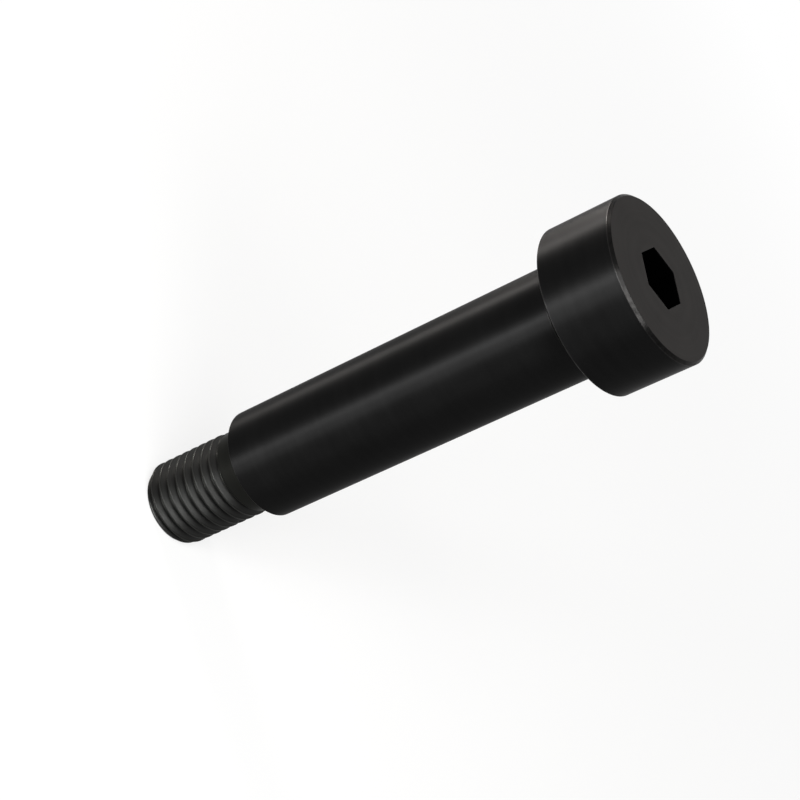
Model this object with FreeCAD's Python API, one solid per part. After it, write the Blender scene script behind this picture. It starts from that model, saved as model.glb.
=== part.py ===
import FreeCAD, Part

import math
import os

# Shoulder bolt, turned from one bar: a cylindrical head with a hexagon socket, a ground shoulder that
# works as a pivot or a guide, a neck, and a right-hand thread. All lengths are in millimetres.
# The axis is Z, with the head upwards. The origin is on the axis, in the plane of the head's bearing face.

# Head
head_diameter = 30.0
head_height = 14.0
head_top_chamfer = 0.5
head_rear_chamfer = 0.2

# Hexagon socket
key_size = 10.0
key_clearance = 0.06
socket_depth = 9.0
socket_point_angle = 120.0

# Shoulder, with a shallow relief under the head so that a part can seat against the bearing face
shoulder_diameter = 20.0
shoulder_length = 70.0
shoulder_end_chamfer = 0.15
relief_depth = 0.3
relief_length = 2.4
relief_corner = 0.3

# Neck between the shoulder and the thread
neck_diameter = 15.3
neck_length = 4.8
neck_fillet = 0.5

# Thread, a metric profile of 60 degrees
thread_nominal_diameter = 16.0
thread_pitch = 2.0
crest_clearance = 0.1
thread_section_length = 22.0
thread_end_chamfer_length = 1.3
thread_end_chamfer_depth = 0.95
thread_start_angle = -73.3
runout_turns = 0.85

# Derived sizes
head_radius = head_diameter / 2
shoulder_radius = shoulder_diameter / 2
neck_radius = neck_diameter / 2
crest_radius = (thread_nominal_diameter - crest_clearance) / 2
root_radius = thread_nominal_diameter / 2 - 0.61343 * thread_pitch
groove_overshoot = 0.07 * thread_pitch
touching_distance = 0.0001
shoulder_end = -shoulder_length
bolt_end = -(shoulder_length + thread_section_length)
neck_end = shoulder_end - neck_length
full_groove_end = neck_end - 0.55 * thread_pitch


def rz(radius, height):
    """A point of the turned section."""
    return FreeCAD.Vector(radius, 0, height)


def fillet_arc(corner, start, end, radius):
    """The quarter arc that rounds an inside corner between a level line and an upright one."""
    centre = FreeCAD.Vector(start.x, 0, end.z)
    middle = centre + (corner - centre).normalize() * radius
    return Part.Arc(start, middle, end).toShape()


def line(start, end):
    return Part.makeLine(start, end)


def head_edges():
    """The section of the head, from the axis out over the top and in along the bearing face."""
    corners = [
        rz(0, head_height),
        rz(head_radius - head_top_chamfer, head_height),
        rz(head_radius, head_height - head_top_chamfer),
        rz(head_radius, head_rear_chamfer),
        rz(head_radius - head_rear_chamfer, 0),
        rz(shoulder_radius - relief_depth + relief_corner, 0),
    ]
    return [line(a, b) for a, b in zip(corners, corners[1:])]


def shoulder_edges():
    """The section of the shoulder, with the relief under the head and the broken edge at its end."""
    relief_radius = shoulder_radius - relief_depth
    corners = [
        rz(relief_radius + relief_corner, 0),
        rz(relief_radius, -relief_corner),
        rz(relief_radius, -(relief_length - relief_depth)),
        rz(shoulder_radius, -relief_length),
        rz(shoulder_radius, shoulder_end + shoulder_end_chamfer),
        rz(shoulder_radius - shoulder_end_chamfer, shoulder_end),
        rz(neck_radius + neck_fillet, shoulder_end),
    ]
    return [line(a, b) for a, b in zip(corners, corners[1:])]


def thread_blank_edges():
    """The section of the neck and of the plain shank that the thread is cut into."""
    fillet_start = rz(neck_radius + neck_fillet, shoulder_end)
    fillet_end = rz(neck_radius, shoulder_end - neck_fillet)
    step = crest_radius - neck_radius
    corners = [
        fillet_end,
        rz(neck_radius, neck_end + step),
        rz(crest_radius, neck_end),
        rz(crest_radius, bolt_end + thread_end_chamfer_length),
        rz(crest_radius - thread_end_chamfer_depth, bolt_end),
        rz(0, bolt_end),
    ]
    arc = fillet_arc(rz(neck_radius, shoulder_end), fillet_start, fillet_end, neck_fillet)
    return [arc] + [line(a, b) for a, b in zip(corners, corners[1:])]


def turned_blank():
    """The whole bolt as it leaves the lathe, before the socket and the thread."""
    edges = head_edges() + shoulder_edges() + thread_blank_edges()
    edges.append(line(rz(0, bolt_end), rz(0, head_height)))
    section = Part.Face(Part.Wire(edges))
    return section.revolve(FreeCAD.Vector(0, 0, 0), FreeCAD.Vector(0, 0, 1), 360)


def hexagon_socket():
    """The broached hexagon and the drilled cone below it."""
    across_flats = key_size + key_clearance
    corner_radius = across_flats / 2 / math.cos(math.radians(30))
    mouth = [
        FreeCAD.Vector(
            corner_radius * math.cos(math.radians(60 * i)),
            corner_radius * math.sin(math.radians(60 * i)),
            head_height,
        )
        for i in range(7)
    ]
    prism = Part.Face(Part.makePolygon(mouth)).extrude(FreeCAD.Vector(0, 0, -socket_depth))
    point_depth = across_flats / 2 / math.tan(math.radians(socket_point_angle / 2))
    floor_height = head_height - socket_depth
    cone = Part.makeCone(0, across_flats / 2, point_depth, FreeCAD.Vector(0, 0, floor_height - point_depth))
    return prism.fuse(cone)


def turned(shape, angle):
    """The shape after a turn about the bolt's axis."""
    shape.rotate(FreeCAD.Vector(0, 0, 0), FreeCAD.Vector(0, 0, 1), angle)
    return shape


def groove_section(height):
    """The section of the thread groove, which widens outwards past the crest."""
    top_radius = crest_radius + groove_overshoot
    slope = math.tan(math.radians(30))
    root_half = thread_pitch / 2 * (1 - 1 / 8) - (thread_nominal_diameter / 2 - root_radius) * slope
    top_half = root_half + (top_radius - root_radius) * slope
    corners = [
        rz(root_radius, height - root_half),
        rz(root_radius, height + root_half),
        rz(top_radius, height + top_half),
        rz(top_radius, height - top_half),
    ]
    return Part.makePolygon(corners + corners[:1])


def groove_angle(height):
    """The angle about the axis at which the middle of the groove passes a given height."""
    return thread_start_angle + 360 * (height - bolt_end) / thread_pitch


def helix_by_turns(start_height, turns):
    """A right-hand helix that starts on the X side, with one edge for each turn."""
    edges = []
    for i in range(turns):
        turn = Part.makeHelix(thread_pitch, thread_pitch, root_radius)
        turn.translate(FreeCAD.Vector(0, 0, start_height + i * thread_pitch))
        edges += turn.Edges
    return Part.Wire(edges)


def thread_groove():
    """The groove at its full depth, from below the end of the bolt up to where it starts to run out."""
    turns = math.ceil((full_groove_end - bolt_end) / thread_pitch + 0.5)
    start_height = full_groove_end - turns * thread_pitch
    spine = helix_by_turns(start_height, turns)
    groove = spine.makePipeShell([groove_section(start_height)], True, True)
    return turned(groove, groove_angle(start_height))


def thread_runout():
    """The end of the groove, which climbs a cone as the tool draws back, until it has left the metal."""
    rise = thread_pitch * runout_turns
    lift = crest_radius + groove_overshoot - root_radius
    cone_angle = math.atan2(lift, rise)
    slant = math.cos(cone_angle)
    helix = Part.makeHelix(thread_pitch / slant, rise / slant, root_radius, math.degrees(cone_angle))
    helix.translate(FreeCAD.Vector(0, 0, full_groove_end))
    groove = Part.Wire(helix.Edges).makePipeShell([groove_section(full_groove_end)], True, True)
    return turned(groove, groove_angle(full_groove_end))


def shoulder_bolt():
    blank = turned_blank()
    threaded = blank.cut([thread_groove(), thread_runout()], touching_distance)
    return threaded.cut(hexagon_socket())


def main():
    os.makedirs("parts", exist_ok=True)
    bolt = shoulder_bolt()
    solid = bolt.Solids[0]
    solid.exportStep("parts/shoulder_bolt.step")


main()
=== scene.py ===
"""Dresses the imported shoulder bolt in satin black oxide, with its thread, on a pale studio floor."""

import math

import bmesh
import bpy
from mathutils import Matrix, Vector


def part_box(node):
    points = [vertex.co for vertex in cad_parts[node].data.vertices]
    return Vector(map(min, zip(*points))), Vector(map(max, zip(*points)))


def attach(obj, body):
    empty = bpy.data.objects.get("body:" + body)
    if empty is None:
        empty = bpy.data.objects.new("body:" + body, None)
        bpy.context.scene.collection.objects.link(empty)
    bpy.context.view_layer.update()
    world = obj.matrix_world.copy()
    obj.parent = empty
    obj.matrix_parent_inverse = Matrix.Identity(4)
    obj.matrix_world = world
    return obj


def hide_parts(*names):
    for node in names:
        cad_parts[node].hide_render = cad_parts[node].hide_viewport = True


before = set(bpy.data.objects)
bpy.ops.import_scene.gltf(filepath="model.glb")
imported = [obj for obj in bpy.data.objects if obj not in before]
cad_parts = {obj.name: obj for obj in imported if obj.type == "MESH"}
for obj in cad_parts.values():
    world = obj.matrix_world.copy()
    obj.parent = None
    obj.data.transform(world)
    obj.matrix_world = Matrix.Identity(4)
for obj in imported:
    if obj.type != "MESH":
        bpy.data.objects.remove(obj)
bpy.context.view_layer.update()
bolt_end, bolt_top = (corner.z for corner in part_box("shoulder_bolt"))

bl_info = {
    "name": "Shoulder Bolt",
    "version": (1, 0, 0),
    "blender": (4, 5, 0),
    "location": "3D View > Sidebar > Shoulder Bolt",
    "description": "Makes a socket head shoulder bolt and a plain studio around it",
    "category": "Object",
}

PIECE = "dressed_bolt"

# The finishes, in the order in which the thread cutter gives them to the faces
SOCKET, FACED, TURNED, THREADED = range(4)

# A chamfer narrower than this gets the painted edge highlight right across, in metres
NARROW = 0.001
# The share of the neck's length with level rows, below which the rows climb with the thread
PLAIN_NECK = 0.7
# How far the edges of the threaded bar are broken, and the edge towards the neck, in metres
BAR_BREAK = 0.00006
NECK_BREAK = 0.00004
# Width of the end face's rim with the painted highlight, and where its plain middle begins, in metres
END_RIM = 0.00005
END_PLAIN = 0.0003
# Climbing rows that come this close to the bar's top or end are put on it, in metres
SNAP = 0.00001
# Points closer than the first are merged, and edges shorter than the second are dissolved, in metres
MERGED = 0.000002
DISSOLVED = 0.0000005
# Turns for which climbing rows are made, more than the bar is long
TURNS = range(-3, 14)
# Faces across a rounded edge
ROUND_STEPS = 4

# Painted highlight on the head's edges, the other edges, the end's edge and the crests' edges
HEAD_HIGHLIGHT = 1.0
EDGE_HIGHLIGHT = 0.4
END_HIGHLIGHT = 0.5
CREST_HIGHLIGHT = 0.15
# How much of the flanks' painted light the crests have
CREST_LIGHT_SHARE = 0.3
# Faces that meet at more than this are shaded with a sharp edge
SHARP_ANGLE = math.radians(38)

# How fine the patterns of the finish are, as noise scales per metre
FINE_MARKS = 9000.0
BROAD_MARKS = 700.0
CLOUDS = 160.0
GRAIN = 5200.0
RAGGED_HIGHLIGHT = 900.0
# How much smoother the steel is under the painted edge highlight
HIGHLIGHT_SMOOTHER = 0.26

# Half the floor's width, its gap under the bolt, and where its shadow starts to fade and is gone, in metres
FLOOR_HALF = 3.0
FLOOR_GAP = 0.00002
SHADOW_INSIDE = 0.16
SHADOW_OUTSIDE = 0.45
# Upward part of the direction at which the white horizon ends and the dimmer ceiling begins
HORIZON_END = 0.1
CEILING_START = 0.5

# The photograph's camera, as it was fitted to the bolt's outline and its socket
CAMERA_PLACE = Vector((-0.164610, 0.289954, 0.149359))
CAMERA_RIGHT = Vector((-0.147277, -0.596595, 0.788913))
CAMERA_UP = Vector((0.890858, 0.266538, 0.367871))


def length(name, description, default):
    """A size in metres that a user may change."""
    return bpy.props.FloatProperty(
        name=name,
        description=description,
        default=default,
        min=0.0,
        precision=5,
        unit="LENGTH",
        subtype="DISTANCE",
    )


def colour(name, description, default):
    """A colour that a user may change."""
    return bpy.props.FloatVectorProperty(
        name=name, description=description, default=default, min=0.0, max=1.0, size=3, subtype="COLOR"
    )


def share(name, description, default):
    """A number from 0 to 1 that a user may change."""
    return bpy.props.FloatProperty(
        name=name, description=description, default=default, min=0.0, max=1.0, subtype="FACTOR"
    )


def power(name, description, default):
    """A lamp's power in watts that a user may change."""
    return bpy.props.FloatProperty(name=name, description=description, default=default, min=0.0, unit="POWER")


def rotation(name, description, degrees):
    """An angle that a user may change."""
    return bpy.props.FloatProperty(
        name=name, description=description, default=math.radians(degrees), unit="ROTATION", subtype="ANGLE"
    )


class BoltSizes(bpy.types.PropertyGroup):
    """Sizes of the turned bolt and its socket."""

    head_diameter: length("Head", "Diameter of the head", 0.030)
    head_chamfer: length("Head Chamfer", "Chamfer round the head's top face", 0.0005)
    head_rear_chamfer: length("Rear Chamfer", "Chamfer round the head's bearing face", 0.0002)
    key_size: length("Key", "Distance across the flats of the hexagon socket", 0.01006)
    socket_depth: length("Socket Depth", "Depth of the hexagon part of the socket", 0.009)
    socket_point: length("Socket Point", "Depth of the drill point under the hexagon", 0.002904)
    shoulder_diameter: length("Shoulder", "Diameter of the shoulder", 0.020)
    shoulder_length: length("Shoulder Length", "Length of the shoulder under the head", 0.070)
    shoulder_chamfer: length("Shoulder Chamfer", "Chamfer at the shoulder's end", 0.00015)
    relief_depth: length("Relief Depth", "Depth of the relief under the head", 0.0003)
    relief_length: length("Relief Length", "Length of the relief under the head", 0.0024)
    neck_diameter: length("Neck", "Diameter of the neck above the thread", 0.0153)
    neck_length: length("Neck Length", "Length of the neck above the thread", 0.0048)
    neck_fillet: length("Neck Fillet", "Radius between the neck and the shoulder", 0.0005)
    edge_radius: length("Edge Radius", "Radius that breaks each sharp edge", 0.00008)
    columns: bpy.props.IntProperty(
        name="Columns",
        description="Faces round the bolt, in sixes so that the hexagon has true corners",
        default=192,
        min=48,
        step=6,
    )


class ThreadSizes(bpy.types.PropertyGroup):
    """Sizes of the thread."""

    outside_diameter: length("Outside", "Diameter over the crests", 0.0159)
    root_diameter: length("Root", "Diameter at the bottom of the groove", 0.01354628)
    pitch: length("Pitch", "Distance from one turn to the next", 0.002)
    root_flat: length("Root Flat", "Width of the bottom of the groove", 0.00033333)
    flank_angle: rotation("Flank Angle", "Angle between the two sides of the groove", 60)
    start_angle: rotation("Start", "Where the groove leaves the end face", -73.3)
    runout_start: length("Run-out Start", "Height over the neck's end at which it starts to fade", 0.00026)
    runout_length: length("Run-out", "Length over which the groove fades into the neck", 0.0007)
    runout_rise: length("Run-out Rise", "How far the groove's root rises over that length", 0.001317)
    end_chamfer: length("End Chamfer", "Length of the chamfer at the thread's end", 0.0013)
    end_chamfer_depth: length("End Chamfer Depth", "Depth of the chamfer at the thread's end", 0.00095)
    crest_radius: length("Crest Break", "Width over which each crest edge is rounded", 0.00014)


class BoltFinish(bpy.types.PropertyGroup):
    """Colours and finish of the black oxide."""

    oxide: colour("Oxide", "Black oxide on the head and the shoulder", (0.0089, 0.0089, 0.0089))
    neck_oxide: colour("Neck Oxide", "Oxide on the neck and the thread's crests", (0.0115, 0.0117, 0.0106))
    # Painted light: this lighter colour stands in for the lit thread flanks, which the grooves' own shade
    # would darken
    flank_painted_light: colour("Flank Painted Light", "Thinner oxide on the thread's flanks", (0.0580, 0.0582, 0.0564))
    # Painted light: far lighter than the sides, this colour stands in for the bright reflection on the head's
    # top face
    face_painted_light: colour("Face Painted Light", "Black oxide on the head's top face", (0.0645, 0.0600, 0.0570))
    # Painted shade: a near-black colour that stands in for the shade deep inside the socket
    socket_painted_shade: colour("Socket Painted Shade", "Thicker oxide inside the socket", (0.0012, 0.0012, 0.0012))
    # Painted highlight: a lighter steel colour on the edges that stands in for their highlights
    painted_edge_highlight: colour("Painted Edge Highlight", "Thin oxide along the edges", (0.048, 0.0465, 0.045))
    # Strength of the painted edge highlight, which also makes the edges smoother
    edge_highlight: share("Edge Highlight", "How much of the edges is worn", 0.6)
    roughness: share("Roughness", "Roughness of the turned surfaces", 0.46)
    thread_roughness: share("Thread Roughness", "Roughness of the neck and the thread", 0.394)
    faced_roughness: share("Faced Roughness", "Roughness of the head's top face", 0.5)
    mark_depth: length("Mark Depth", "Depth of the fine turning marks", 0.0000012)


class StudioLook(bpy.types.PropertyGroup):
    """The floor, the surroundings and the lamps."""

    floor_colour: colour("Floor", "Colour of the floor", (0.88, 0.88, 0.87))
    shadow: share("Shadow", "How much of the object's shadow the floor shows", 0.27)
    surroundings: share("Surroundings", "Strength of the light from all round", 0.15)
    ceiling: share("Ceiling", "How bright the ceiling looks in reflections", 0.25)
    side_lamp: power("Side Lamp", "Low lamp at the side of the bolt", 4.6)
    rim_lamp: power("Rim Lamp", "Small lamp behind the bolt that shines upwards past the head", 1.05)
    front_lamp: power("Front Lamp", "Low, narrow lamp at the front", 3.1)
    fill_lamp: power("Fill Lamp", "Low, weak lamp beside the front lamp", 1.2)
    key_lamp: power("Key Lamp", "Broad lamp above the camera", 8.0)


# The section of the bolt


def corner_rows(before, here, after, radius):
    """Points (radius, height) that round one corner of the section.

    One more point on each side keeps the flats flat."""
    here, before, after = Vector(here), Vector(before), Vector(after)
    back, ahead = (before - here).normalized(), (after - here).normalized()
    turn = math.pi - back.angle(ahead)
    tangent = radius * math.tan(turn / 2)
    middle = here + (back + ahead).normalized() * (radius / math.cos(turn / 2))
    start = (here + back * tangent - middle).normalized()
    finish = (here + ahead * tangent - middle).normalized()
    arc = [middle + start.slerp(finish, i / ROUND_STEPS) * radius for i in range(ROUND_STEPS + 1)]
    return [arc[0] + back * radius, *arc, arc[-1] + ahead * radius]


def section_rows(sizes):
    """Rows of the mesh from the socket's point to the neck.

    Each row has its radius, its height, 1 where it is a hexagon, its share of painted edge highlight, and the
    finish that follows it.
    Edges get a painted highlight, and a narrow chamfer gets it right across."""
    flat = sizes.key_size / 2
    floor = bolt_top - sizes.socket_depth
    head, shoulder, neck = sizes.head_diameter / 2, sizes.shoulder_diameter / 2, sizes.neck_diameter / 2
    relief, shoulder_end = shoulder - sizes.relief_depth, -sizes.shoulder_length
    edge = sizes.edge_radius
    slope = sizes.socket_point / flat
    # Radius, height, rounding, hexagon, finish; a corner without rounding only divides a long face
    corners = [
        (0, floor - sizes.socket_point, 0, 0, SOCKET),
        (flat * 0.5, floor - flat * 0.5 * slope, 0, 0, SOCKET),
        (flat * 0.99, floor - flat * 0.01 * slope, 0, 0, SOCKET),
        (flat, floor, 0, 1, SOCKET),
        (flat, floor + sizes.socket_depth * 0.5, 0, 1, SOCKET),
        (flat, bolt_top, edge, 1, FACED),
        (flat * 1.45, bolt_top, 0, 0, FACED),
        (head * 0.66, bolt_top, 0, 0, FACED),
        (head * 0.84, bolt_top, 0, 0, FACED),
        (head - sizes.head_chamfer, bolt_top, edge, 0, TURNED),
        (head, bolt_top - sizes.head_chamfer, edge, 0, TURNED),
        (head, bolt_top * 0.5, 0, 0, TURNED),
        (head, sizes.head_rear_chamfer, edge, 0, TURNED),
        (head - sizes.head_rear_chamfer, 0, edge, 0, TURNED),
        ((head + shoulder) / 2, 0, 0, 0, TURNED),
        (shoulder, 0, 0, 0, TURNED),
        (relief, -sizes.relief_depth, 0, 0, TURNED),
        (relief, sizes.relief_depth - sizes.relief_length, 0, 0, TURNED),
        (shoulder, -sizes.relief_length, edge, 0, TURNED),
        *((shoulder, shoulder_end * tenth / 10, 0, 0, TURNED) for tenth in range(1, 10)),
        (shoulder, shoulder_end + sizes.shoulder_chamfer, edge, 0, TURNED),
        (shoulder - sizes.shoulder_chamfer, shoulder_end, edge, 0, TURNED),
        (neck, shoulder_end, sizes.neck_fillet, 0, THREADED),
        (neck, shoulder_end - sizes.neck_length * 0.5, 0, 0, THREADED),
        (neck, shoulder_end - sizes.neck_length * PLAIN_NECK, 0, 0, THREADED),
    ]
    rows = []
    for i, (radius, height, rounding, hexagon, finish) in enumerate(corners):
        if not rounding:
            rows.append((radius, height, hexagon, 0.0, finish))
            continue
        around = [corners[i - 1][:2], (radius, height), corners[i + 1][:2]]
        points = corner_rows(*around, rounding)
        # Rounded edges get a share of painted highlight, the neck's fillet none
        highlight_amount = HEAD_HIGHLIGHT if radius > head * 0.9 else EDGE_HIGHLIGHT
        if rounding == sizes.neck_fillet:
            highlight_amount = 0.0
        chamfers = [math.dist((radius, height), place) < NARROW for place in (around[0], around[2])]
        before = corners[i - 1][4]
        for k, point in enumerate(points):
            plain = k == 0 and not chamfers[0] or k == len(points) - 1 and not chamfers[1]
            highlight_here = 0.0 if plain else highlight_amount
            finish_here = finish if k > ROUND_STEPS // 2 else before
            rows.append((point.x, point.y, hexagon, highlight_here, finish_here))
    return rows


def blank_radius(sizes, thread, height):
    """Radius of the bar from which the thread is cut, from the neck down to the end chamfer."""
    neck, crest = sizes.neck_diameter / 2, thread.outside_diameter / 2
    neck_end = -sizes.shoulder_length - sizes.neck_length
    chamfer_top = bolt_end + thread.end_chamfer
    points = [
        (bolt_end, crest - thread.end_chamfer_depth),
        (chamfer_top - BAR_BREAK, crest - BAR_BREAK * thread.end_chamfer_depth / thread.end_chamfer),
        (chamfer_top + BAR_BREAK, crest),
        (neck_end - BAR_BREAK, crest),
        (neck_end + NECK_BREAK, crest - BAR_BREAK),
        (neck_end + crest - neck, neck),
        (0.0, neck),
    ]
    for (low, at_low), (high, at_high) in zip(points, points[1:]):
        if height <= high:
            return at_low + (at_high - at_low) * max(0.0, height - low) / (high - low)
    return neck


def thread_steps(thread):
    """Heights within one turn, from one groove's middle to the next.

    They are closer together along the edges of the crest and the root."""
    pitch, close = thread.pitch, thread.pitch * 0.02
    root = thread.root_flat / 2
    crest = root + (thread.outside_diameter - thread.root_diameter) / 2 * math.tan(thread.flank_angle / 2)
    half = [0, root * 0.5, root - close, root, root + close, root + 3 * close]
    half += [root + 3 * close + (crest - root - 6 * close) * part for part in (0.2, 0.4, 0.6, 0.8)]
    half += [crest - 3 * close, crest - 1.5 * close, crest - 0.7 * close, crest]
    half += [crest + 0.8 * close, crest + 2 * close, pitch / 2]
    return half + [pitch - step for step in reversed(half[1:-1])]


def turned_blank(sizes, thread):
    """Closed mesh of the bolt before its thread is cut.

    From the neck down its rows climb with the thread, so that the crests have clean edges."""
    rows = section_rows(sizes)
    top, end = rows[-1][1], bolt_end + BAR_BREAK
    crest = thread.outside_diameter / 2
    end_radius = crest - thread.end_chamfer_depth
    last_rows = [
        (blank_radius(sizes, thread, end), end, 0, END_HIGHLIGHT, THREADED),
        (end_radius - END_RIM, bolt_end, 0, END_HIGHLIGHT, THREADED),
        (end_radius - END_PLAIN, bolt_end, 0, 0.0, THREADED),
        (end_radius * 0.6, bolt_end, 0, 0.0, THREADED),
        (end_radius * 0.25, bolt_end, 0, 0.0, THREADED),
        (0.0, bolt_end, 0, 0.0, THREADED),
    ]
    groove = bolt_end - thread.start_angle / math.tau * thread.pitch
    climbing = [groove + number * thread.pitch + step for number in TURNS for step in thread_steps(thread)]
    climbing = sorted((start for start in climbing if end - thread.pitch < start < top), reverse=True)

    bm = bmesh.new()
    edge_highlight = bm.verts.layers.float.new("edge_highlight")
    finish_layer = bm.faces.layers.int.new("finish")
    columns = sizes.columns
    grid, finishes = [], []

    def add_row(places, highlight_amount, finish):
        row = []
        for x, y, z in places:
            vertex = bm.verts.new((x, y, z))
            vertex[edge_highlight] = highlight_amount
            row.append(vertex)
        grid.append(row)
        finishes.append(finish)

    def ring(radius, height, hexagon):
        for i in range(columns + 1):
            angle = math.tau * i / columns
            off_flat = angle % (math.pi / 3) - math.pi / 6
            reach = radius / math.cos(off_flat) if hexagon else radius
            yield reach * math.cos(angle), reach * math.sin(angle), height

    def climb(start):
        for i in range(columns + 1):
            angle = math.tau * i / columns
            height = start + thread.pitch * i / columns
            if height > top - SNAP:
                height = top
            elif height < end + SNAP:
                height = end
            radius = blank_radius(sizes, thread, height)
            yield radius * math.cos(angle), radius * math.sin(angle), height

    for radius, height, hexagon, highlight_amount, finish in rows:
        add_row(ring(radius, height, hexagon), highlight_amount, finish)
    for start in climbing:
        add_row(climb(start), 0.0, THREADED)
    for radius, height, hexagon, highlight_amount, finish in last_rows:
        add_row(ring(radius, height, hexagon), highlight_amount, finish)
    for upper, lower, finish in zip(grid, grid[1:], finishes):
        for i in range(columns):
            face = bm.faces.new((upper[i], lower[i], lower[i + 1], upper[i + 1]))
            face[finish_layer] = finish
            face.smooth = True
    bmesh.ops.remove_doubles(bm, verts=bm.verts, dist=MERGED)
    bmesh.ops.dissolve_degenerate(bm, edges=bm.edges, dist=DISSOLVED)
    bmesh.ops.recalc_face_normals(bm, faces=bm.faces)
    mesh = bpy.data.meshes.new(PIECE)
    bm.to_mesh(mesh)
    bm.free()
    return mesh


# The thread, cut by a rule


class Rule:
    """A node tree with short calls for its sums."""

    def __init__(self, tree):
        self.tree, self.nodes, self.links = tree, tree.nodes, tree.links

    def add(self, kind, **settings):
        """A new node with those settings."""
        node = self.nodes.new(kind)
        for name, value in settings.items():
            setattr(node, name, value)
        return node

    def give(self, socket, value):
        """Links another node's output to an input, or sets the input to a plain value."""
        if isinstance(value, bpy.types.NodeSocket):
            self.links.new(value, socket)
        else:
            socket.default_value = value

    def sum(self, operation, *values, clamp=False):
        """The output of a math node."""
        node = self.add("ShaderNodeMath", operation=operation, use_clamp=clamp)
        for socket, value in zip(node.inputs, values):
            self.give(socket, value)
        return node.outputs[0]

    def parts(self, place):
        """The x, y and z of a place or a direction."""
        node = self.add("ShaderNodeSeparateXYZ")
        self.give(node.inputs[0], place)
        return node.outputs

    def off_axis(self, x, y):
        """The distance from the bolt's axis."""
        return self.sum("SQRT", self.sum("ADD", self.sum("MULTIPLY", x, x), self.sum("MULTIPLY", y, y)))


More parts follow.
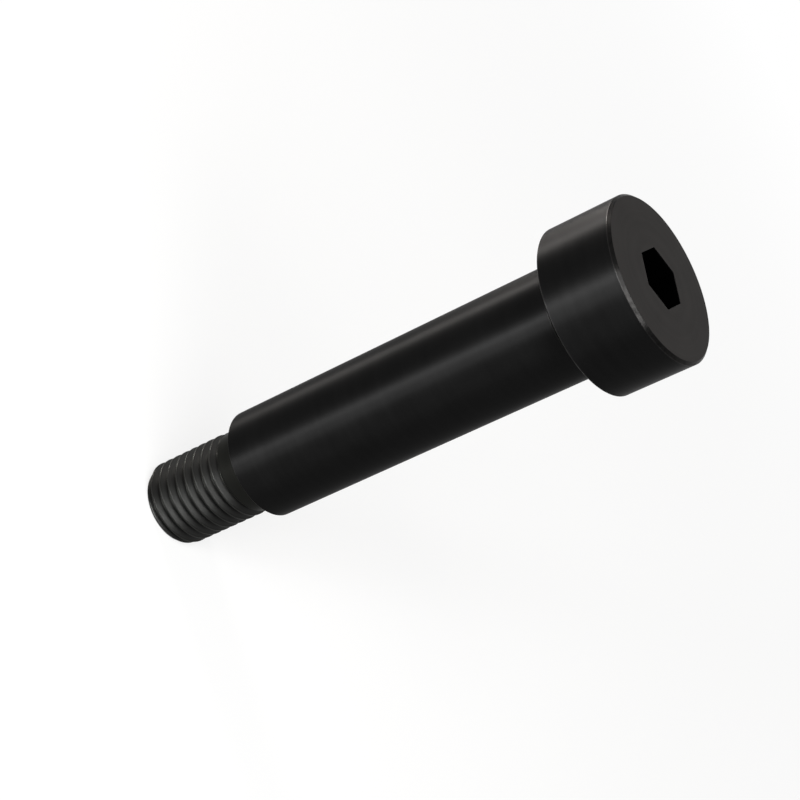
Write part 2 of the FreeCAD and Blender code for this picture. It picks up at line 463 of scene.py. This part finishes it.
def thread_cutter(sizes, thread, materials):
    """Geometry nodes that cut a right-hand groove into the bar and fade it out into the neck.

    They also mark the crests' edges for the painted edge highlight and the flanks for painted light, and give
    each face its finish."""
    tree = bpy.data.node_groups.new("Cut Thread", "GeometryNodeTree")
    tree.interface.new_socket("Geometry", in_out="OUTPUT", socket_type="NodeSocketGeometry")
    tree.interface.new_socket("Bar", in_out="INPUT", socket_type="NodeSocketGeometry")
    neck_end = -sizes.shoulder_length - sizes.neck_length
    values = {
        "Thread Top": -sizes.shoulder_length - sizes.neck_length * PLAIN_NECK,
        "Thread End": bolt_end,
        "Pitch": thread.pitch,
        "Root Radius": thread.root_diameter / 2,
        "Root Flat": thread.root_flat,
        "Flank Slope": 1 / math.tan(thread.flank_angle / 2),
        "Start Turn": thread.start_angle / math.tau,
        "Neck End": neck_end,
        "Run-out Start": neck_end + thread.runout_start,
        "Run-out Slope": thread.runout_rise / thread.runout_length,
        "Crest Break": thread.crest_radius,
        "Root Round": thread.root_flat * 0.8,
        "Highlight Width": thread.pitch * 0.15,
    }
    sockets = {}
    for name in values:
        sockets[name] = tree.interface.new_socket(name, in_out="INPUT", socket_type="NodeSocketFloat")
    for name in materials:
        sockets[name] = tree.interface.new_socket(name, in_out="INPUT", socket_type="NodeSocketMaterial")

    rule = Rule(tree)
    given = rule.add("NodeGroupInput").outputs
    x, y, z = rule.parts(rule.add("GeometryNodeInputPosition").outputs[0])
    bar = rule.off_axis(x, y)
    whole_turn = rule.sum("DIVIDE", rule.sum("ARCTAN2", y, x), math.tau)
    turns = rule.sum("SUBTRACT", whole_turn, given["Start Turn"])
    along = rule.sum("DIVIDE", rule.sum("SUBTRACT", z, given["Thread End"]), given["Pitch"])
    off_turns = rule.sum("WRAP", rule.sum("SUBTRACT", along, turns), 0.5, -0.5)
    off = rule.sum("MULTIPLY", off_turns, given["Pitch"])
    middle = rule.sum("SUBTRACT", z, off)
    past = rule.sum("MAXIMUM", rule.sum("SUBTRACT", middle, given["Run-out Start"]), 0.0)
    root = rule.sum("MULTIPLY_ADD", past, given["Run-out Slope"], given["Root Radius"])
    half_flat = rule.sum("MULTIPLY", given["Root Flat"], 0.5)
    up_flank = rule.sum("SUBTRACT", rule.sum("ABSOLUTE", off), half_flat)
    slope = rule.sum("MULTIPLY", up_flank, given["Flank Slope"])
    rise = rule.sum("SMOOTH_MAX", slope, 0.0, given["Root Round"])
    groove = rule.sum("ADD", root, rise)
    cut = rule.sum("SMOOTH_MIN", bar, groove, given["Crest Break"])
    scale = rule.sum("DIVIDE", cut, bar)
    moved = rule.add("ShaderNodeCombineXYZ")
    place = (rule.sum("MULTIPLY", x, scale), rule.sum("MULTIPLY", y, scale), z)
    for socket, value in zip(moved.inputs, place):
        rule.give(socket, value)

    in_thread = rule.sum("LESS_THAN", z, given["Thread Top"])
    off_bar = rule.sum("ABSOLUTE", rule.sum("SUBTRACT", bar, groove))
    near_edge = rule.sum("SUBTRACT", 1.0, rule.sum("DIVIDE", off_bar, given["Highlight Width"]), clamp=True)
    in_turns = rule.sum("LESS_THAN", z, given["Neck End"])
    in_groove = rule.sum("MULTIPLY", rule.sum("GREATER_THAN", bar, groove), in_turns)
    on_flank = rule.sum("MULTIPLY", in_groove, CREST_HIGHLIGHT)
    old_highlight = rule.add("GeometryNodeInputNamedAttribute", data_type="FLOAT")
    old_highlight.inputs["Name"].default_value = "edge_highlight"
    highlight_amount = rule.sum("MAXIMUM", old_highlight.outputs[0], rule.sum("MULTIPLY", near_edge, on_flank))
    # The flanks are marked for painted light, a lighter colour for lit flanks; the roots stay dark and the
    # crests get a share
    off_crest = rule.sum("DIVIDE", rule.sum("SUBTRACT", bar, cut), given["Crest Break"], clamp=True)
    off_root = rule.sum("DIVIDE", rule.sum("SUBTRACT", cut, root), given["Root Flat"], clamp=True)
    crest_light_amount = rule.sum("MULTIPLY", in_turns, CREST_LIGHT_SHARE)
    flank_light_amount = rule.sum("MULTIPLY", rule.sum("MAXIMUM", off_crest, crest_light_amount), off_root)
    last = given["Bar"]
    for name, value in (("edge_highlight", highlight_amount), ("flank_light_share", flank_light_amount)):
        store = rule.add("GeometryNodeStoreNamedAttribute", data_type="FLOAT", domain="POINT")
        store.inputs["Name"].default_value = name
        rule.give(store.inputs["Geometry"], last)
        rule.give(store.inputs["Selection"], in_thread)
        rule.give(store.inputs["Value"], value)
        last = store.outputs[0]
    shape = rule.add("GeometryNodeSetPosition")
    rule.give(shape.inputs["Geometry"], last)
    rule.give(shape.inputs["Selection"], in_thread)
    rule.give(shape.inputs["Position"], moved.outputs[0])
    realized = rule.add("GeometryNodeRealizeInstances")
    rule.give(realized.inputs[0], shape.outputs[0])
    painted = paint_faces(rule, given, realized.outputs[0], materials)
    rule.give(rule.add("NodeGroupOutput").inputs[0], painted)
    return tree, sockets, values


def paint_faces(rule, given, geometry, materials):
    """Nodes that give each face the material of its finish."""
    finish = rule.add("GeometryNodeInputNamedAttribute", data_type="INT")
    finish.inputs["Name"].default_value = "finish"
    for number, name in enumerate(materials):
        paint = rule.add("GeometryNodeSetMaterial")
        rule.give(paint.inputs["Geometry"], geometry)
        chosen = rule.add("FunctionNodeCompare", data_type="INT", operation="EQUAL")
        # Inputs 2 and 3 are the two whole numbers that the node compares
        rule.give(chosen.inputs[2], finish.outputs[0])
        chosen.inputs[3].default_value = number
        rule.give(paint.inputs["Selection"], chosen.outputs[0])
        rule.give(paint.inputs["Material"], given[name])
        geometry = paint.outputs[0]
    return geometry


def cut_thread(piece, sizes, thread, materials):
    """Runs the thread cutter on the bar and keeps the result as the piece's plain mesh."""
    tree, sockets, values = thread_cutter(sizes, thread, materials)
    modifier = piece.modifiers.new("Cut Thread", "NODES")
    modifier.node_group = tree
    for name, value in (values | materials).items():
        modifier[sockets[name].identifier] = value
    graph = bpy.context.evaluated_depsgraph_get()
    cut = piece.evaluated_get(graph)
    mesh = bpy.data.meshes.new_from_object(cut, preserve_all_data_layers=True, depsgraph=graph)
    piece.modifiers.clear()
    piece.data = mesh
    mesh.set_sharp_from_angle(angle=SHARP_ANGLE)


# The finishes


def new_material(name):
    """A material with only a shader and an output, and the rule that fills it."""
    material = bpy.data.materials.new(name)
    material.use_nodes = True
    material.node_tree.nodes.clear()
    rule = Rule(material.node_tree)
    shader = rule.add("ShaderNodeBsdfPrincipled")
    rule.give(rule.add("ShaderNodeOutputMaterial").inputs["Surface"], shader.outputs[0])
    return material, rule, shader


def noise(rule, where, scale, detail, roughness, dimensions="3D"):
    """A noise over a place, or along a distance where it has one dimension."""
    node = rule.add("ShaderNodeTexNoise", noise_dimensions=dimensions)
    rule.give(node.inputs["W" if dimensions == "1D" else "Vector"], where)
    node.inputs["Scale"].default_value = scale
    node.inputs["Detail"].default_value = detail
    node.inputs["Roughness"].default_value = roughness
    return node.outputs["Fac"]


def blend_colours(rule, amount, first, second):
    """The first colour where the amount is 0 and the second where it is 1."""
    node = rule.add("ShaderNodeMix", data_type="RGBA")
    # Inputs 6 and 7 and output 2 are the node's colours
    rule.give(node.inputs[0], amount)
    rule.give(node.inputs[6], first)
    rule.give(node.inputs[7], second)
    return node.outputs[2]


def spread(rule, value, low, high, to_low, to_high):
    """Maps value from low..high to to_low..to_high, held at the ends."""
    node = rule.add("ShaderNodeMapRange")
    for socket, number in zip(node.inputs, (value, low, high, to_low, to_high)):
        rule.give(socket, number)
    return node.outputs[0]


def sway(rule, pattern, low, high):
    """Maps the usual range of a noise to low..high."""
    return spread(rule, pattern, 0.3, 0.7, low, high)


def oxide_finish(finish, name, base, roughness, anisotropy, mark_depth, edge_tint):
    """Black oxide on turned steel: marks round the bolt, cloudy patches, a painted highlight on the edges and
    painted light on the thread's flanks.
    """
    material, rule, shader = new_material(name)
    where = rule.add("ShaderNodeTexCoord").outputs["Object"]
    x, y, z = rule.parts(where)
    along = rule.sum("ADD", rule.off_axis(x, y), z)
    fine = noise(rule, along, FINE_MARKS, 2.0, 0.6, "1D")
    broad = noise(rule, along, BROAD_MARKS, 2.0, 0.5, "1D")
    cloud = noise(rule, where, CLOUDS, 4.0, 0.55)
    grain = noise(rule, where, GRAIN, 2.0, 0.6)

    # Painted highlight: the marked edges, broken up by noise, get the lighter steel colour and less roughness
    edge_highlight = rule.add("ShaderNodeAttribute", attribute_name="edge_highlight").outputs["Fac"]
    patchy = spread(rule, noise(rule, where, RAGGED_HIGHLIGHT, 4.0, 0.65), 0.35, 0.62, 0.35, 1.0)
    ragged = rule.sum("MULTIPLY", edge_highlight, patchy)
    highlight_amount = rule.sum("MULTIPLY", rule.sum("SMOOTH_MIN", ragged, 1.0, 0.2), finish.edge_highlight)
    tone = rule.sum("MULTIPLY", sway(rule, cloud, 0.91, 1.10), sway(rule, broad, 0.96, 1.04))
    tinted = rule.add("ShaderNodeVectorMath", operation="SCALE")
    rule.give(tinted.inputs["Scale"], tone)
    # Painted light: the marked flanks get the lighter flank colour
    flank_light_share = rule.add("ShaderNodeAttribute", attribute_name="flank_light_share").outputs["Fac"]
    rule.give(tinted.inputs[0], blend_colours(rule, flank_light_share, (*base, 1.0), (*finish.flank_painted_light, 1.0)))
    with_highlight = blend_colours(rule, highlight_amount, tinted.outputs[0], (*finish.painted_edge_highlight, 1.0))
    rule.give(shader.inputs["Base Color"], with_highlight)

    cloudy = sway(rule, cloud, roughness - 0.015, roughness + 0.015)
    rough = rule.sum("ADD", cloudy, sway(rule, fine, -0.012, 0.012))
    smoother = rule.sum("MULTIPLY", highlight_amount, HIGHLIGHT_SMOOTHER)
    rule.give(shader.inputs["Roughness"], rule.sum("SUBTRACT", rough, smoother))
    shader.inputs["Metallic"].default_value = 1.0
    shader.inputs["Specular Tint"].default_value = (edge_tint, edge_tint, edge_tint, 1.0)
    shader.inputs["Anisotropic"].default_value = anisotropy
    # A quarter turn, so that marks round the bolt stretch its highlights along it
    shader.inputs["Anisotropic Rotation"].default_value = 0.25
    tangent = rule.add("ShaderNodeTangent", direction_type="RADIAL", axis="Z")
    rule.give(shader.inputs["Tangent"], tangent.outputs[0])

    height = rule.sum("ADD", rule.sum("MULTIPLY", fine, 0.7), rule.sum("MULTIPLY", grain, 0.3))
    bump = rule.add("ShaderNodeBump")
    bump.inputs["Strength"].default_value = 1.0
    bump.inputs["Distance"].default_value = mark_depth
    rule.give(bump.inputs["Height"], height)
    rule.give(shader.inputs["Normal"], bump.outputs[0])
    return material


def bolt_materials(finish):
    """The four finishes in the order of SOCKET, FACED, TURNED and THREADED."""
    deep, shallow = finish.mark_depth, finish.mark_depth * 0.5
    # Name, colour, roughness, how far the marks stretch a highlight, depth of the marks, tint at the outline
    finishes = {
        # The socket's near-black colour is painted shade
        "Socket Material": ("socket_painted_shade", finish.socket_painted_shade, 0.6, 0.0, deep, 0.5),
        # The top face's lighter colour is painted light
        "Faced Material": ("face_painted_light", finish.face_painted_light, finish.faced_roughness, 0.0, shallow, 0.72),
        "Turned Material": ("turned_oxide", finish.oxide, finish.roughness, 0.86, deep, 0.575),
        "Threaded Material": ("threaded_oxide", finish.neck_oxide, finish.thread_roughness, 0.3, deep, 0.585),
    }
    return {title: oxide_finish(finish, *values) for title, values in finishes.items()}


# The stage


def seen_as_white(rule):
    """1 for the camera's rays and for those that metal or glass sends on, or else 0."""
    ray = rule.add("ShaderNodeLightPath").outputs
    sent_on = rule.sum("MAXIMUM", ray["Is Glossy Ray"], ray["Is Transmission Ray"])
    return rule.sum("MAXIMUM", ray["Is Camera Ray"], sent_on)


def floor_material(look):
    """A pale floor that the camera and reflections see as white, with the object's shadow on it."""
    material, rule, shader = new_material("pale_floor")
    shader.inputs["Base Color"].default_value = (*look.floor_colour, 1.0)
    shader.inputs["Roughness"].default_value = 0.9
    shader.inputs["Specular IOR Level"].default_value = 0.1
    where = rule.add("ShaderNodeTexCoord").outputs["Object"]
    away = rule.add("ShaderNodeVectorMath", operation="LENGTH")
    rule.give(away.inputs[0], where)
    white = spread(rule, away.outputs["Value"], SHADOW_INSIDE, SHADOW_OUTSIDE, 1.0 - look.shadow, 1.0)
    glow = rule.add("ShaderNodeEmission")
    mix = rule.add("ShaderNodeMixShader")
    rule.give(mix.inputs[0], rule.sum("MULTIPLY", seen_as_white(rule), white))
    rule.give(mix.inputs[1], shader.outputs[0])
    rule.give(mix.inputs[2], glow.outputs[0])
    output = next(n for n in rule.nodes if n.type == "OUTPUT_MATERIAL")
    rule.give(output.inputs["Surface"], mix.outputs[0])
    return material


def make_floor(look):
    """A square floor just under the bolt's end."""
    mesh = bpy.data.meshes.new("floor")
    bm = bmesh.new()
    corners = ((-1, -1), (1, -1), (1, 1), (-1, 1))
    level = bolt_end - FLOOR_GAP
    bm.faces.new([bm.verts.new((x * FLOOR_HALF, y * FLOOR_HALF, level)) for x, y in corners])
    bm.to_mesh(mesh)
    bm.free()
    mesh.materials.append(floor_material(look))
    floor = bpy.data.objects.new("floor", mesh)
    bpy.context.scene.collection.objects.link(floor)


def make_surroundings(look):
    """A white room with a dimmer ceiling, as the camera and reflections see it, and a weak even light."""
    world = bpy.data.worlds.new("pale_surroundings")
    world.use_nodes = True
    world.node_tree.nodes.clear()
    rule = Rule(world.node_tree)
    white = rule.add("ShaderNodeBackground")
    upwards = rule.parts(rule.add("ShaderNodeTexCoord").outputs["Generated"])[2]
    shown = spread(rule, upwards, HORIZON_END, CEILING_START, 1.0, look.ceiling)
    strength = spread(rule, seen_as_white(rule), 0.0, 1.0, look.surroundings, shown)
    rule.give(white.inputs["Strength"], strength)
    white.inputs["Color"].default_value = (1.0, 1.0, 1.0, 1.0)
    rule.give(rule.add("ShaderNodeOutputWorld").inputs["Surface"], white.outputs[0])
    bpy.context.scene.world = world


def make_lamp(name, power, place, target, size, tint=(1.0, 1.0, 1.0)):
    """A soft rectangular lamp, its length upright, aimed at the target."""
    light = bpy.data.lights.new(name, "AREA")
    light.shape = "RECTANGLE"
    light.size, light.size_y = size
    light.energy = power
    light.color = tint
    lamp = bpy.data.objects.new(name, light)
    lamp.location = place
    lamp.rotation_euler = (Vector(target) - Vector(place)).to_track_quat("-Z", "Y").to_euler()
    lamp.visible_camera = False
    bpy.context.scene.collection.objects.link(lamp)


def around(azimuth, distance, height):
    """A place by its azimuth in degrees, its distance from the bolt's axis and its height over the floor."""
    angle = math.radians(azimuth)
    return distance * math.cos(angle), distance * math.sin(angle), bolt_end + height


def make_camera():
    """The photograph's camera: close, above and beside the bolt, and turned on its side."""
    data = bpy.data.cameras.new("camera")
    data.lens, data.sensor_width = 100.0, 36.0
    data.clip_start, data.clip_end = 0.01, 50.0
    camera = bpy.data.objects.new("camera", data)
    turned = Matrix((CAMERA_RIGHT, CAMERA_UP, CAMERA_RIGHT.cross(CAMERA_UP))).transposed()
    camera.matrix_world = Matrix.Translation(CAMERA_PLACE) @ turned.to_4x4()
    bpy.context.scene.collection.objects.link(camera)
    bpy.context.scene.camera = camera


# The add-on's operators and panel


class SHOULDERBOLT_OT_bolt(bpy.types.Operator):
    """Make the bolt with its socket, its thread and its black oxide"""

    bl_idname = "shoulder_bolt.bolt"
    bl_label = "Make Bolt"

    def execute(self, context):
        scene = context.scene
        sizes, thread, finish = scene.bolt_sizes, scene.thread_sizes, scene.bolt_finish
        piece = bpy.data.objects.new(PIECE, turned_blank(sizes, thread))
        scene.collection.objects.link(piece)
        cut_thread(piece, sizes, thread, bolt_materials(finish))
        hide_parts("shoulder_bolt")
        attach(piece, "root")
        return {"FINISHED"}


class SHOULDERBOLT_OT_stage(bpy.types.Operator):
    """Make the pale floor, the surroundings, the lamps and the camera"""

    bl_idname = "shoulder_bolt.stage"
    bl_label = "Make Stage"

    def execute(self, context):
        look = context.scene.studio_look
        make_floor(look)
        make_surroundings(look)
        middle = (0.0, 0.0, -0.04)
        behind, overhead = around(-1, 0.2, 0.06), around(-1, 0.2, 1.0)
        warm, warmer = (1.0, 0.95, 0.91), (1.0, 0.93, 0.88)
        # Each lamp has its place and its target in metres, then its width and height
        make_lamp("side_lamp", look.side_lamp, around(17, 0.6, 0.06), middle, (0.12, 0.12), warm)
        make_lamp("rim_lamp", look.rim_lamp, behind, overhead, (0.07, 0.07), warmer)
        make_lamp("front_lamp", look.front_lamp, around(95, 0.6, 0.05), middle, (0.08, 0.10))
        make_lamp("fill_lamp", look.fill_lamp, around(110, 0.6, 0.05), middle, (0.10, 0.10))
        make_lamp("key_lamp", look.key_lamp, around(128, 0.46, 0.67), middle, (0.78, 0.34))
        make_camera()
        context.scene.view_settings.view_transform = "Standard"
        return {"FINISHED"}


class SHOULDERBOLT_PT_panel(bpy.types.Panel):
    """The bolt's sizes, its finish and its stage"""

    bl_label = "Shoulder Bolt"
    bl_idname = "SHOULDERBOLT_PT_panel"
    bl_space_type = "VIEW_3D"
    bl_region_type = "UI"
    bl_category = "Shoulder Bolt"

    def draw(self, context):
        scene = context.scene
        self.show("Bolt", scene.bolt_sizes)
        self.show("Thread", scene.thread_sizes)
        self.show("Finish", scene.bolt_finish)
        self.layout.operator("shoulder_bolt.bolt")
        self.show("Stage", scene.studio_look)
        self.layout.operator("shoulder_bolt.stage")

    def show(self, title, group):
        box = self.layout.box()
        box.label(text=title)
        for name in group.__annotations__:
            box.prop(group, name)


GROUPS = {
    "bolt_sizes": BoltSizes,
    "thread_sizes": ThreadSizes,
    "bolt_finish": BoltFinish,
    "studio_look": StudioLook,
}
CLASSES = (*GROUPS.values(), SHOULDERBOLT_OT_bolt, SHOULDERBOLT_OT_stage, SHOULDERBOLT_PT_panel)


def register():
    for cls in CLASSES:
        bpy.utils.register_class(cls)
    for name, group in GROUPS.items():
        setattr(bpy.types.Scene, name, bpy.props.PointerProperty(type=group))


def unregister():
    for name in GROUPS:
        delattr(bpy.types.Scene, name)
    for cls in reversed(CLASSES):
        bpy.utils.unregister_class(cls)


def main():
    register()
    bpy.ops.shoulder_bolt.bolt()
    bpy.ops.shoulder_bolt.stage()


if __name__ == "__main__":
    main()
